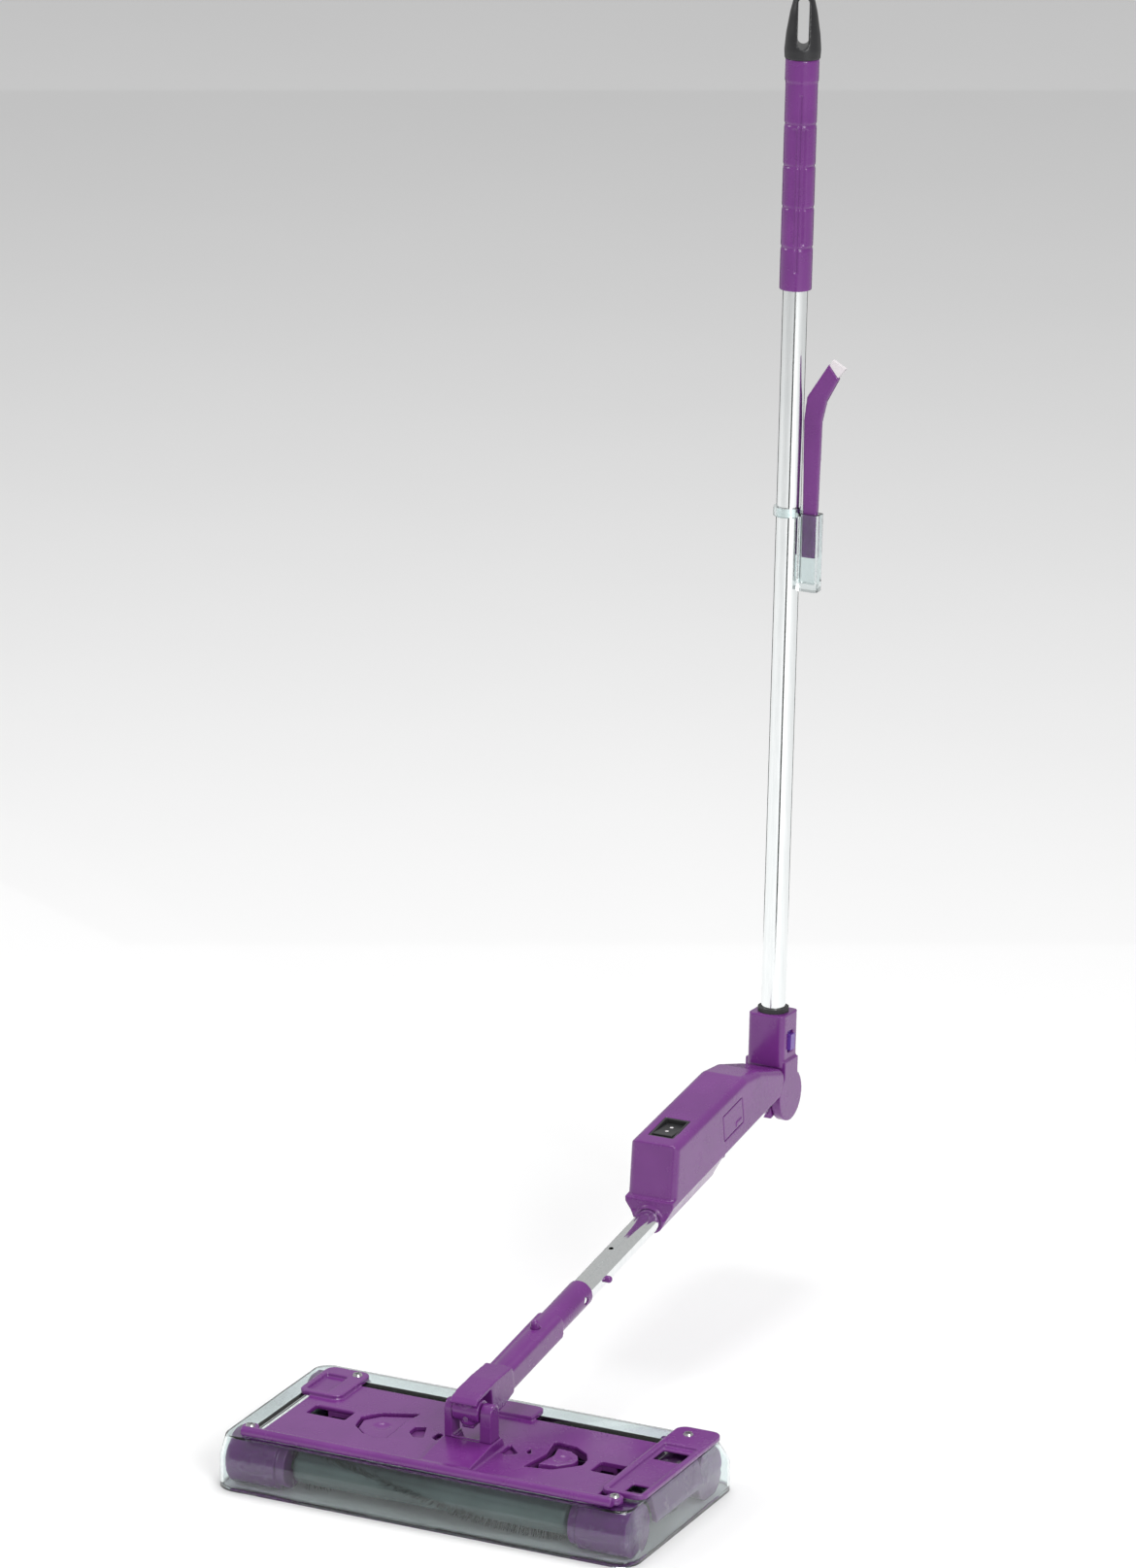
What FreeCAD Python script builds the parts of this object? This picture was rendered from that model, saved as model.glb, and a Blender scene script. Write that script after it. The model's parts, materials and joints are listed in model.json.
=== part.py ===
import FreeCAD, Part
import Sketcher
import math
import os
import re

# Cordless swivel carpet sweeper with four edge brushes, in its working pose: the head flat on the
# floor, the neck leaning back low over it and the pole standing up from the elbow.
# X runs along the head, +Y points to the back, +Z is up; the origin is on the floor under the head.

doc = FreeCAD.newDocument("sweeper")

DIMS = {
    # head cover and deck
    "head_len": 290, "head_wid": 150, "head_corner": 14, "skirt_knee": 20, "skirt_top": 35,
    "skirt_inset": 4, "skirt_front_inset": 4, "skirt_back_inset": 12, "wall": 1.8,
    "deck_z": 33, "deck_top": 36, "deck_left": 120, "deck_right": 112, "deck_front": 66,
    "deck_back": 36, "gap": 0.3, "bead_rad": 3.2, "bead_half": 128,
    "slot_len": 27, "slot_wid": 14, "slot_x": 82, "bridge_in": 112.3, "bridge_out": 142.6,
    "bridge_top": 40,
    # brushes
    "axle_z": 16.4, "front_y": 53, "rear_y": 48, "side_x": 122, "core_rad": 5,
    "brush_rad": 16.1, "brush_half": 95, "side_brush_front": 31, "side_brush_back": 26,
    "house_rad": 17, "house_in": 98, "house_out": 138,
    # tray under the deck
    "tray_half": 101, "tray_front": 33, "tray_back": 28, "tray_low": 6, "bay_half": 22,
    "door_thick": 2, "wheel_rad": 6, "wheel_half": 11,
    # swivel
    "neck_x": 8, "pivot_y": 21.99, "pivot_z": 61.21, "neck_start": 8.1, "ear_gap": 9.6,
    "ear_left": 15, "ear_right": 17.6, "ear_depth": 5.8, "plinth_top": 43,
    "block_rad": 7.4, "block_half": 9, "pin_rad": 2.5, "fit": 0.05, "door_hinge": 24.2,
    # neck
    "neck_tilt": 8.6, "neck_len": 446, "tube_rad": 8, "tube_wall": 1, "sleeve_rad": 8.9,
    "sleeve_end": 163, "leg_half": 9, "low_leg_half": 4, "case_half": 17, "case_wall": 2,
    "shell_rad": 9.8, "switch_top": 48.2,
    # elbow and pole
    "pole_lean": 2.95, "disc_rad": 17, "knuckle_half": 8, "cheek_out": 14.5,
    "socket_low": 21, "socket_top": 56, "socket_half": 12, "band_at": 394, "grip_low": 539,
    "grip_top": 689, "grip_rad": 10.4, "cap_top": 734, "cap_rad": 11.8, "cap_turn": 24,
    "comb_x": 15.6, "hub_rad": 10.6,
}

sheet = doc.addObject("Spreadsheet::Sheet", "dims")
for row, (alias, value) in enumerate(DIMS.items(), start=1):
    sheet.set(f"A{row}", alias)
    sheet.set(f"B{row}", str(value))
    sheet.setAlias(f"B{row}", alias)
doc.recompute()

X, Y, Z = FreeCAD.Vector(1, 0, 0), FreeCAD.Vector(0, 1, 0), FreeCAD.Vector(0, 0, 1)
TURN = {"x": FreeCAD.Rotation(Y, 90), "y": FreeCAD.Rotation(X, -90), "z": FreeCAD.Rotation()}
NODES = []


def ex(text):
    """An expression on the sheet's aliases."""
    return re.sub(r"[a-z][a-z_]+", lambda m: "dims." + m[0] if m[0] in DIMS else m[0], str(text))


def bind(obj, sizes, base, turn=None):
    if turn is not None:
        obj.Placement = FreeCAD.Placement(FreeCAD.Vector(), turn)
    for prop, text in sizes.items():
        obj.setExpression(prop, ex(text))
    for letter, text in zip("xyz", base):
        obj.setExpression("Placement.Base." + letter, ex(text))
    return obj


def box(x0, x1, y0, y1, z0, z1):
    """A box between two corners."""
    sizes = {"Length": f"({x1}) - ({x0})", "Width": f"({y1}) - ({y0})",
             "Height": f"({z1}) - ({z0})"}
    return bind(doc.addObject("Part::Box", "Box"), sizes, (x0, y0, z0))


def cyl(axis, base, rad, length):
    """A cylinder from base along an axis."""
    sizes = {"Radius": rad, "Height": length}
    return bind(doc.addObject("Part::Cylinder", "Cylinder"), sizes, base, TURN[axis])


def cone(axis, base, rad0, rad1, length):
    sizes = {"Radius1": rad0, "Radius2": rad1, "Height": length}
    return bind(doc.addObject("Part::Cone", "Cone"), sizes, base, TURN[axis])


def ball(base, rad):
    return bind(doc.addObject("Part::Sphere", "Ball"), {"Radius": rad}, base)


def ring(axis, base, rad, thin):
    sizes = {"Radius1": rad, "Radius2": thin}
    return bind(doc.addObject("Part::Torus", "Ring"), sizes, base, TURN[axis])


def fuse(*shapes):
    joined = doc.addObject("Part::MultiFuse", "Fuse")
    joined.Shapes = list(shapes)
    joined.Refine = True
    return joined


def cut(base, *tools):
    made = doc.addObject("Part::Cut", "Cut")
    made.Base = base
    made.Tool = tools[0] if len(tools) == 1 else fuse(*tools)
    return made


def common(one, two):
    made = doc.addObject("Part::Common", "Common")
    made.Base = one
    made.Tool = two
    return made


def group(*shapes):
    made = doc.addObject("Part::Compound", "Group")
    made.Links = list(shapes)
    return made


def profile(plane, points, low, high):
    """A straight-sided outline with each corner bound to the sheet, pushed from low to high."""
    sketch = doc.addObject("Sketcher::SketchObject", "Outline")
    turn = {"xy": FreeCAD.Rotation(), "xz": FreeCAD.Rotation(X, 90),
            "yz": FreeCAD.Rotation(FreeCAD.Vector(1, 1, 1), 120)}[plane]
    normal = {"xy": Z, "xz": -Y, "yz": X}[plane]
    sketch.Placement = FreeCAD.Placement(FreeCAD.Vector(), turn)
    value = [[float(sheet.evalExpression(ex(text))) for text in pair] for pair in points]
    corners = [FreeCAD.Vector(a, b, 0) for a, b in value]
    for here, after in zip(corners, corners[1:] + corners[:1]):
        sketch.addGeometry(Part.LineSegment(here, after), False)
    for index in range(len(corners)):
        follow = (index + 1) % len(corners)
        sketch.addConstraint(Sketcher.Constraint("Coincident", index, 2, follow, 1))
    for index, (pair, at) in enumerate(zip(points, value)):
        for kind, text, size, line in (("DistanceX", pair[0], at[0], -2),
                                       ("DistanceY", pair[1], at[1], -1)):
            if abs(size) < 1e-9:
                sketch.addConstraint(Sketcher.Constraint("PointOnObject", index, 1, line))
                continue
            number = sketch.addConstraint(Sketcher.Constraint(kind, -1, 1, index, 1, size))
            sketch.setExpression(f"Constraints[{number}]", ex(text))
    made = doc.addObject("Part::Extrusion", "Push")
    made.Base = sketch
    made.DirMode = "Custom"
    made.Dir = normal
    made.Solid = True
    made.setExpression("LengthFwd", ex(f"({high})"))
    made.setExpression("LengthRev", ex(f"-({low})"))
    return made


def round_edges(obj, radius, pick):
    """Rounds the edges that pick chooses by their centre and direction."""
    doc.recompute()
    chosen = []
    for number, edge in enumerate(obj.Shape.Edges, start=1):
        if edge.Curve.TypeId != "Part::GeomLine":
            continue
        along = edge.tangentAt(edge.FirstParameter)
        if pick(edge.CenterOfMass, along):
            chosen.append((number, radius, radius))
    made = doc.addObject("Part::Fillet", "Round")
    made.Base = obj
    made.Edges = chosen
    return made


def loft(*outlines):
    made = doc.addObject("Part::Loft", "Loft")
    made.Sections = list(outlines)
    made.Solid = True
    made.Ruled = True
    return made


def rounded_outline(half_x, front, back, radius, z):
    """A rounded rectangle lying flat at height z."""
    sketch = doc.addObject("Sketcher::SketchObject", "Rim")
    hx, fy, by, r = (float(sheet.evalExpression(ex(t))) for t in (half_x, front, back, radius))
    spots = [(hx - r, fy + r, 270), (hx - r, by - r, 0), (-hx + r, by - r, 90),
             (-hx + r, fy + r, 180)]
    for cx, cy, start in spots:
        circle = Part.Circle(FreeCAD.Vector(cx, cy, 0), Z, r)
        a0 = math.radians(start)
        sketch.addGeometry(Part.ArcOfCircle(circle, a0, a0 + math.pi / 2), False)
    for index in range(4):
        follow = (index + 1) % 4
        a = sketch.getPoint(index, 2)
        b = sketch.getPoint(follow, 1)
        line = sketch.addGeometry(Part.LineSegment(a, b), False)
        sketch.addConstraint(Sketcher.Constraint("Coincident", index, 2, line, 1))
        sketch.addConstraint(Sketcher.Constraint("Coincident", line, 2, follow, 1))
    for index, (cx, cy, start) in enumerate(spots):
        across, along = ("-" if cx < 0 else "", "-" if cy < 0 else "")
        number = sketch.addConstraint(Sketcher.Constraint("DistanceX", -1, 1, index, 3, cx))
        sketch.setExpression(f"Constraints[{number}]", ex(f"{across}(({half_x}) - ({radius}))"))
        edge = f"({front}) + ({radius})" if along else f"({back}) - ({radius})"
        number = sketch.addConstraint(Sketcher.Constraint("DistanceY", -1, 1, index, 3, cy))
        sketch.setExpression(f"Constraints[{number}]", ex(edge))
        number = sketch.addConstraint(Sketcher.Constraint("Radius", index, r))
        sketch.setExpression(f"Constraints[{number}]", ex(radius))
    return bind(sketch, {}, ("0", "0", z))


def node(obj, label, frame=None):
    """Names a finished sub-part, and stands it where it belongs."""
    if frame is not None:
        doc.recompute()
        own = obj.Placement
        for letter in "xyz":
            obj.setExpression("Placement.Base." + letter, None)
        obj.Placement = frame.multiply(own)
    obj.Label = label
    NODES.append(obj)
    return obj


# the neck's own axis starts a little before the pivot of its two hinges
TILT = FreeCAD.Rotation(X, DIMS["neck_tilt"])
PIVOT = FreeCAD.Vector(DIMS["neck_x"], -DIMS["pivot_y"], DIMS["pivot_z"])
SWIVEL = FreeCAD.Placement(PIVOT, TILT)
NECK = FreeCAD.Placement(PIVOT - TILT.multVec(Y) * DIMS["neck_start"], TILT)
ELBOW = NECK.multVec(FreeCAD.Vector(0, DIMS["neck_len"], 0))
POLE = FreeCAD.Placement(ELBOW, FreeCAD.Rotation(X, -DIMS["pole_lean"]))
GRIP = POLE.multiply(FreeCAD.Placement(FreeCAD.Vector(), FreeCAD.Rotation(Z, DIMS["cap_turn"])))

# ---------------------------------------------------------------- clear cover

def cover_form(inset, low, knee, top):
    half = f"head_len / 2 - {inset}"
    base = (f"-head_wid / 2 + {inset}", f"head_wid / 2 - {inset}")
    upper = (f"-head_wid / 2 + skirt_front_inset + {inset}",
             f"head_wid / 2 - skirt_back_inset - {inset}")
    curve = f"head_corner - {inset}"
    rims = [rounded_outline(half, *base, curve, low), rounded_outline(half, *base, curve, knee),
            rounded_outline(f"{half} - skirt_inset", *upper, curve, top)]
    return loft(*rims)


window = box("-deck_left - gap", "deck_right + gap", "-deck_front - gap", "deck_back + gap",
             "skirt_top - 9", "skirt_top + 5")
side_window = box("deck_right - 4", "138.8", "-47.5", "37.5", "skirt_top - 9", "skirt_top + 5")
skirt = cut(cover_form("0", "0", "skirt_knee", "skirt_top"),
            cover_form("wall", "-1", "skirt_knee - 1", "skirt_top - wall"), window, side_window)
node(skirt, "skirt_cover")

# ---------------------------------------------------------------- deck

eye_left = [("-72", "-22"), ("-75", "-8"), ("-67", "3"), ("-44", "12.5"), ("-46.5", "-1"),
            ("-45.5", "-19"), ("-45", "-32"), ("-50", "-34.5"), ("-62", "-31")]
eye_right = [("51", "-34.5"), ("55", "-9.5"), ("51", "10"), ("66", "8.5"), ("77", "1"),
             ("82", "-8"), ("82.5", "-17"), ("69", "-31")]
plate = box("-deck_left", "deck_right", "-deck_front", "deck_back", "deck_z", "deck_top")
bead = cyl("x", ("-bead_half", "-deck_front", "deck_top + 2.2"), "bead_rad", "2 * bead_half")
lip = box("-bead_half", "bead_half", "-deck_front + 0.5", "-deck_front + 7", "skirt_top + gap",
          "deck_top + 3")
front_pads = [cyl("z", (x, "-deck_front + 7", "skirt_top + gap"), "5.5", "4")
              for x in ("-bead_half + 2", "bead_half - 2")]
corner_pad = round_edges(box("-129", "-99", "8", "52", "skirt_top + gap", "38.6"), 6,
                         lambda c, d: abs(d.z) > 0.9)
corner_well = box("-125", "-110", "13", "40", "36.5", "44")
tab = round_edges(box("-6", "24", "32", "51", "skirt_top + gap", "38.6"), 5,
                  lambda c, d: abs(d.z) > 0.9 and c.y > 40)
plinth = profile("yz", [("-63", "35.5"), ("-63", "38"), ("-pivot_y - ear_depth", "plinth_top"),
                        ("-pivot_y + ear_depth + 2", "plinth_top"),
                        ("-pivot_y + ear_depth + 6", "35.5")], "neck_x - 16", "neck_x + 18.6")

def openings():
    """The two long slots and the two eye-shaped openings over the dust bins."""
    return [box("-slot_x - slot_len", "-slot_x", "-17.5", "-17.5 + slot_wid", "20", "45"),
            box("slot_x + 9", "slot_x + slot_len + 3", "-22", "-22 + slot_wid + 2", "20", "45"),
            profile("xy", eye_left, "20", "45"), profile("xy", eye_right, "20", "45")]


vents = [profile("xy", [("-37", "-17"), ("-37", "-8"), ("-31", "-5"), ("-25", "-21"),
                        ("-31", "-23")], "20", "45"),
         profile("xy", [("-20", "-19"), ("-19.5", "-9"), ("-14.5", "-13"), ("-15.5", "-21.5")],
                 "20", "45"),
         profile("xy", [("28", "-21"), ("28.5", "-7"), ("39", "-17.5"), ("34", "-23")], "20", "45"),
         profile("xy", [("42.5", "-13"), ("41.5", "-4"), ("47", "-16.5")], "20", "45")]
well = box("neck_x - 9", "neck_x + 9", "-pivot_y - 5", "-pivot_y + 14", "37.5", "plinth_top + 4")
screw_holes = [cyl("z", (x, y, "20"), "1.6", "25")
               for x, y in (("-bead_half + 2", "-deck_front + 7"), ("bead_half - 2", "-deck_front + 7"),
                            ("-106", "45"))]
deck = cut(fuse(plate, bead, lip, *front_pads, corner_pad, tab, plinth),
           *openings(), *vents, well, corner_well, *screw_holes)
node(deck, "deck")

# raised frame across the right-hand end, with its pocket and the cheek outside the side brush
frame_body = round_edges(box("bridge_in", "bridge_out", "-53", "60", "skirt_top + gap + 1.2",
                             "bridge_top"), 7, lambda c, d: abs(d.z) > 0.9)
cheek = profile("xz", [("138.5", "16"), ("142.2", "16"), ("142.2", "19.5"), ("138.3", "33"),
                       ("138.3", "37"), ("135.5", "37"), ("135.5", "28"), ("138.5", "21.5")],
                "-30.5", "35.5")
bridge = cut(fuse(frame_body, cheek), box("117", "139", "-49", "30", "38", "47"),
             box("119", "137", "8", "24", "36", "47"), box("126", "137", "-47", "-33", "36", "47"),
             cyl("z", ("124", "48", "30"), "1.6", "12"))
node(bridge, "end_bridge")

# ---------------------------------------------------------------- gear housings at the corners

def housing(label, side, y, back):
    """A barrel over the end of a long brush and the end of a side brush, with a stepped collar."""
    a, b = ("-house_out", "-house_in - 6") if side < 0 else ("house_in + 6", "house_out")
    barrel = cyl("x", (a, y, "axle_z"), "house_rad", f"({b}) - ({a})")
    step = "-house_in - 6" if side < 0 else "house_in"
    collar = cyl("x", (step, y, "axle_z"), "house_rad - 2", "6")
    centre = "-side_x" if side < 0 else "side_x"
    reach = "-side_brush_front - 1" if not back else "side_brush_back + 1"
    y0, y1 = (y, reach) if not back else (reach, y)
    boss = cyl("y", (centre, y0, "axle_z"), "11", f"({y1}) - ({y0})")
    flat = box("-160", "160", "-90", "90", "1", "deck_z" if not back else "skirt_top - wall - gap")
    body = common(fuse(barrel, collar, boss), flat)
    seam = cut(cyl("x", (a, y, "axle_z"), "house_rad + 1", f"({b}) - ({a})"),
               cyl("x", (a, y, "axle_z"), "house_rad - 0.5", f"({b}) - ({a})"))
    band = common(seam, box("-160", "160", "-90", "90", "axle_z - 3.6", "axle_z - 2.9"))
    inner = cyl("x", ("-house_out + 12" if side < 0 else "house_in - 1", y, "axle_z"), "3.4",
                "house_out - house_in - 11")
    cross = cyl("y", (centre, f"({reach}) - 9" if not back else f"({reach}) - 1", "axle_z"), "3.4",
                "10")
    node(cut(body, band, inner, cross), label)


housing("gear_housing_fl", -1, "-front_y", False)
housing("gear_housing_fr", 1, "-front_y", False)
housing("gear_housing_rl", -1, "rear_y", True)
housing("gear_housing_rr", 1, "rear_y", True)

# ---------------------------------------------------------------- brushes

def brush(label, axis, centre, low, high, phase):
    """A core with journals and two helical bands of tufts, drawn as rows of flat blades."""
    x, y = centre
    start = (low, y, "axle_z") if axis == "x" else (x, low, "axle_z")
    early = (f"({low}) - 7", y, "axle_z") if axis == "x" else (x, f"({low}) - 7", "axle_z")
    long = f"({high}) - ({low})"
    core = fuse(cyl(axis, start, "core_rad", long), cyl(axis, early, "3", f"{long} + 14"))
    node(core, label + "_core")
    rows = []
    count = 6 if axis == "x" else 3
    step = f"(({high}) - ({low}) - 6) / {count}"
    for index in range(count):
        turn = phase + index * 30
        for side in (0, 180):
            blade = doc.addObject("Part::Box", "Blade")
            angle = turn + side
            spin = FreeCAD.Rotation(X if axis == "x" else Y, angle)
            sizes = {"Length": f"{step} - 1", "Width": "2.4", "Height": "brush_rad - core_rad"}
            shift = FreeCAD.Vector(0, -1.2, DIMS["core_rad"])
            if axis == "y":
                sizes = {"Length": "2.4", "Width": f"{step} - 1", "Height": "brush_rad - core_rad"}
                shift = FreeCAD.Vector(-1.2, 0, DIMS["core_rad"])
            out = spin.multVec(shift)
            along = f"({low}) + 3 + {index} * {step}"
            spot = [f"({x}) + {out.x:.6f}", f"({y}) + {out.y:.6f}", f"axle_z + {out.z:.6f}"]
            spot[0 if axis == "x" else 1] = along
            rows.append(bind(blade, sizes, spot, spin))
    body = cyl(axis, start, "core_rad", long)
    sleeve_start = (f"({low}) + 1", y, "axle_z") if axis == "x" else (x, f"({low}) + 1", "axle_z")
    sleeve = cyl(axis, sleeve_start, "hub_rad" if axis == "x" else "core_rad + 0.8",
                 f"{long} - 2")
    node(cut(fuse(sleeve, *rows), body), label + "_tufts")


brush("brush_front", "x", ("0", "-front_y"), "-brush_half", "brush_half", 20)
brush("brush_rear", "x", ("0", "rear_y"), "-brush_half", "brush_half", 65)
brush("brush_left", "y", ("-side_x", "0"), "-side_brush_front", "side_brush_back", 40)
brush("brush_right", "y", ("side_x", "0"), "-side_brush_front", "side_brush_back", 85)

# ---------------------------------------------------------------- tray, doors, motor, rollers

tray_body = box("-tray_half", "tray_half", "-tray_front", "tray_back", "tray_low", "deck_z")
bins = [box(a, b, "-tray_front + wall", "tray_back - wall", "0", "deck_z - 3")
        for a, b in (("-tray_half + wall", "-bay_half"), ("bay_half", "tray_half - wall"))]
bay = box("-bay_half + wall", "bay_half - wall", "-tray_front + wall", "tray_back - wall", "0",
          "deck_z - 3")
mouths = [box(a, b, y0, y1, "18", "deck_z - 4")
          for a, b in (("-tray_half + 8", "-bay_half - 6"), ("bay_half + 6", "tray_half - 8"))
          for y0, y1 in (("-tray_front - 1", "-tray_front + wall + 1"),
                         ("tray_back - wall - 1", "tray_back + 1"))]
pin_bores = [cyl("y", (x, "-tray_front - 1", "tray_low + 1.6"), "1.25", "tray_back + tray_front + 2")
             for x in ("-door_hinge", "door_hinge")]
axle_bores = [cyl("x", ("-bay_half - 1", y, "wheel_rad"), "1.5", "2 * bay_half + 2")
              for y in ("-22", "17")]
axle_cheeks = [box(a, b, y0, y1, "2.5", "tray_low + 4")
               for a, b in (("-bay_half", "-bay_half + wall"), ("bay_half - wall", "bay_half"))
               for y0, y1 in (("-27", "-17"), ("12", "22"))]
tray = cut(fuse(cut(tray_body, *bins, bay), *axle_cheeks), *mouths, *openings(), *pin_bores,
           *axle_bores)
node(tray, "tray_frame")


def door(label, side):
    """A flap that closes one dust bin from below, hinged beside the wheel bay."""
    near, far = "door_hinge + 0.8", "tray_half - wall - 0.4"
    hinge = "door_hinge" if side > 0 else "-door_hinge"
    a, b = (near, far) if side > 0 else (f"-({far})", f"-({near})")
    flap = box(a, b, "-tray_front + wall + 0.4", "tray_back - wall - 0.4", "tray_low - 0.6",
               "tray_low - 0.6 + door_thick")
    knuckle = cyl("y", (hinge, "-tray_front + wall + 0.4", "tray_low + 1.6"), "2",
                  "tray_front + tray_back - 2 * wall - 0.8")
    bore = cyl("y", (hinge, "-tray_front", "tray_low + 1.6"), "1.25 + fit", "tray_front + tray_back")
    web_x = ("door_hinge - 1", "door_hinge + 2") if side > 0 else ("-door_hinge - 2", "-door_hinge + 1")
    web = box(*web_x, "-tray_front + wall + 0.4", "tray_back - wall - 0.4", "tray_low",
              "tray_low + 1.6")
    node(cut(fuse(flap, knuckle, web), bore), label)
    node(cyl("y", (hinge, "-tray_front", "tray_low + 1.6"), "1.25", "tray_front + tray_back"),
         label + "_pin")


door("dust_door_left", -1)
door("dust_door_right", 1)

can = cyl("x", ("-17", "-2", "20.5"), "7.2", "26")
motor = fuse(can, cyl("x", ("9", "-2", "20.5"), "1.5", "4"), cyl("x", ("-19", "-2", "20.5"), "3", "3"))
node(motor, "motor")
for name, y in (("front", "-22"), ("rear", "17")):
    node(cut(fuse(cyl("x", ("-wheel_half", y, "wheel_rad"), "wheel_rad", "7"),
                  cyl("x", ("wheel_half - 7", y, "wheel_rad"), "wheel_rad", "7"),
                  cyl("x", ("-wheel_half", y, "wheel_rad"), "3", "2 * wheel_half")),
             cyl("x", ("-wheel_half - 1", y, "wheel_rad"), "1.5 + fit", "2 * wheel_half + 2")),
         "wheel_" + name)
node(group(*[cyl("x", ("-bay_half", y, "wheel_rad"), "1.5", "2 * bay_half") for y in ("-22", "17")]),
     "wheel_axles")

# ---------------------------------------------------------------- eye-shaped bin buttons

def shrink(points, amount):
    """The outline drawn in toward its middle, so that it runs free in its opening."""
    pairs = [[float(a) if isinstance(a, float) else float(sheet.evalExpression(a)) for a in p]
             for p in points]
    cx = sum(p[0] for p in pairs) / len(pairs)
    cy = sum(p[1] for p in pairs) / len(pairs)
    return [(f"{cx + (a - cx) * amount:.3f}", f"{cy + (b - cy) * amount:.3f}") for a, b in pairs]


for name, points, size, top, mid in (("left", eye_left, 0.9, "34.4", ("-58", "-13")),
                                     ("right", eye_right, 0.62, "35.4", ("67", "-12"))):
    key = profile("xy", shrink(points, size), "30.6", top)
    dimple = ball((*mid, f"{top} + 11.5"), "13")
    node(cut(key, dimple), "bin_button_" + name)

# ---------------------------------------------------------------- swivel

screws = []
for x, y, z in (("-bead_half + 2", "-deck_front + 7", "39.3"),
                ("bead_half - 2", "-deck_front + 7", "39.3"),
                ("-106", "45", "38.6"), ("124", "48", "bridge_top")):
    head = cone("z", (x, y, z), "3.2", "2.6", "1.2")
    shank = cyl("z", (x, y, f"{z} - 3.5"), "1.3", "3.5")
    cross_slots = [box(f"{x} - 2", f"{x} + 2", f"{y} - 0.4", f"{y} + 0.4", f"{z} + 0.5", f"{z} + 2"),
                   box(f"{x} - 0.4", f"{x} + 0.4", f"{y} - 2", f"{y} + 2", f"{z} + 0.5", f"{z} + 2")]
    screws.append(cut(fuse(head, shank), *cross_slots))
node(group(*screws), "deck_screws")

ear_parts = [box("neck_x - ear_left", "neck_x + ear_right", "-pivot_y - ear_depth",
                 "-pivot_y + ear_depth + 2", "plinth_top", "plinth_top + 1.2")]
for a, b in (("neck_x - ear_left", "neck_x - ear_gap"), ("neck_x + ear_gap", "neck_x + ear_right")):
    ear_parts.append(box(a, b, "-pivot_y - ear_depth", "-pivot_y + ear_depth", "plinth_top",
                         "pivot_z"))
    ear_parts.append(cyl("x", (a, "-pivot_y", "pivot_z"), "ear_depth", f"({b}) - ({a})"))
bracket_gap = box("neck_x - 9", "neck_x + 9", "-pivot_y - ear_depth + 2", "-pivot_y + ear_depth + 3",
                  "plinth_top - 1", "plinth_top + 3")
stubs = [("neck_x - ear_gap - 3.5", "ear_gap - 1.5"), ("neck_x + 5", "ear_gap - 1.5")]
stub_bores = [cyl("x", (a, "-pivot_y", "pivot_z"), "pin_rad", long) for a, long in stubs]
node(cut(fuse(*ear_parts), bracket_gap, *stub_bores), "swivel_bracket")
node(group(*[cyl("x", (a, "-pivot_y", "pivot_z"), "pin_rad", long) for a, long in stubs]),
     "tilt_pins")

# the swivel block and its pin stand at the pivot, turned with the neck
block_form = fuse(cyl("x", ("-block_half", "0", "0"), "block_rad", "2 * block_half"),
                  cyl("z", ("0", "0", "-8.2"), "6.4", "16.4"))
block = cut(block_form, cyl("z", ("0", "0", "-12"), "pin_rad + fit", "24"),
            cyl("x", ("-14", "0", "0"), "pin_rad + fit", "9.1"),
            cyl("x", ("4.9", "0", "0"), "pin_rad + fit", "9.1"),
            cyl("y", ("0", "-10", "-3.4"), "1.8", "4.6"))
node(block, "swivel_block", SWIVEL)
node(cyl("y", ("0", "-6.4", "-3.4"), "1.75", "1"), "block_screw", SWIVEL)
node(cyl("z", ("0", "0", "-11"), "pin_rad", "21.2"), "yoke_pin", SWIVEL)

# the yoke wraps the block from behind, above and below, and runs on into the sleeve
def from_pivot(pairs):
    return [(f"neck_start + {s}" if s >= 0 else f"neck_start - {-s}", str(h)) for s, h in pairs]


hood = profile("yz", from_pivot([(-8.5, 7.6), (-8.5, 9), (-4.5, 10.9), (2, 11.6), (20, 11.2),
                                 (42, 8.9), (42, -8.9), (26, -11.2), (12.7, -11.2), (12.7, 8.5),
                                 (-6.4, 8.5), (-6.4, 7.6)]), "-leg_half - 0.2", "leg_half + 0.2")
low_leg = box("-low_leg_half", "low_leg_half", "neck_start - 4.5", "neck_start + 14", "-11.2", "-8.5")
sleeve = cyl("y", ("0", "44", "0"), "sleeve_rad", "sleeve_end - 44")
flank = round_edges(box("-9", "9", "44", "120", "-8.8", "7.4"), 3, lambda c, d: abs(d.y) > 0.9)
yoke = cut(fuse(hood, low_leg, sleeve, flank),
           cyl("y", ("0", "60", "0"), "tube_rad", "sleeve_end - 59"),
           cyl("z", ("0", "neck_start", "-11"), "pin_rad", "21.2"),
           cyl("z", ("0", "100", "6"), "2.8 + fit", "8"),
           cyl("x", ("6", "154", "0"), "2.3 + fit", "8"))
node(yoke, "neck_yoke", NECK)

neck_tube = cut(cyl("y", ("0", "60", "0"), "tube_rad", "378"),
                cyl("y", ("0", "58", "0"), "tube_rad - tube_wall", "382"),
                cyl("z", ("0", "100", "4"), "2.8 + fit", "8"),
                cyl("x", ("4", "184", "0"), "2.3 + fit", "8"),
                cyl("z", ("0", "208", "4"), "1.6", "8"))
node(neck_tube, "neck_tube", NECK)
node(fuse(cyl("z", ("0", "100", "3"), "2.8", "8.4"), ball(("0", "100", "11.4"), "2.8")),
     "neck_knob", NECK)
node(fuse(cyl("x", ("3", "184", "0"), "2.3", "6.6"), ball(("9.6", "184", "0"), "2.3")),
     "neck_snap", NECK)

# ---------------------------------------------------------------- battery case

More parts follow.
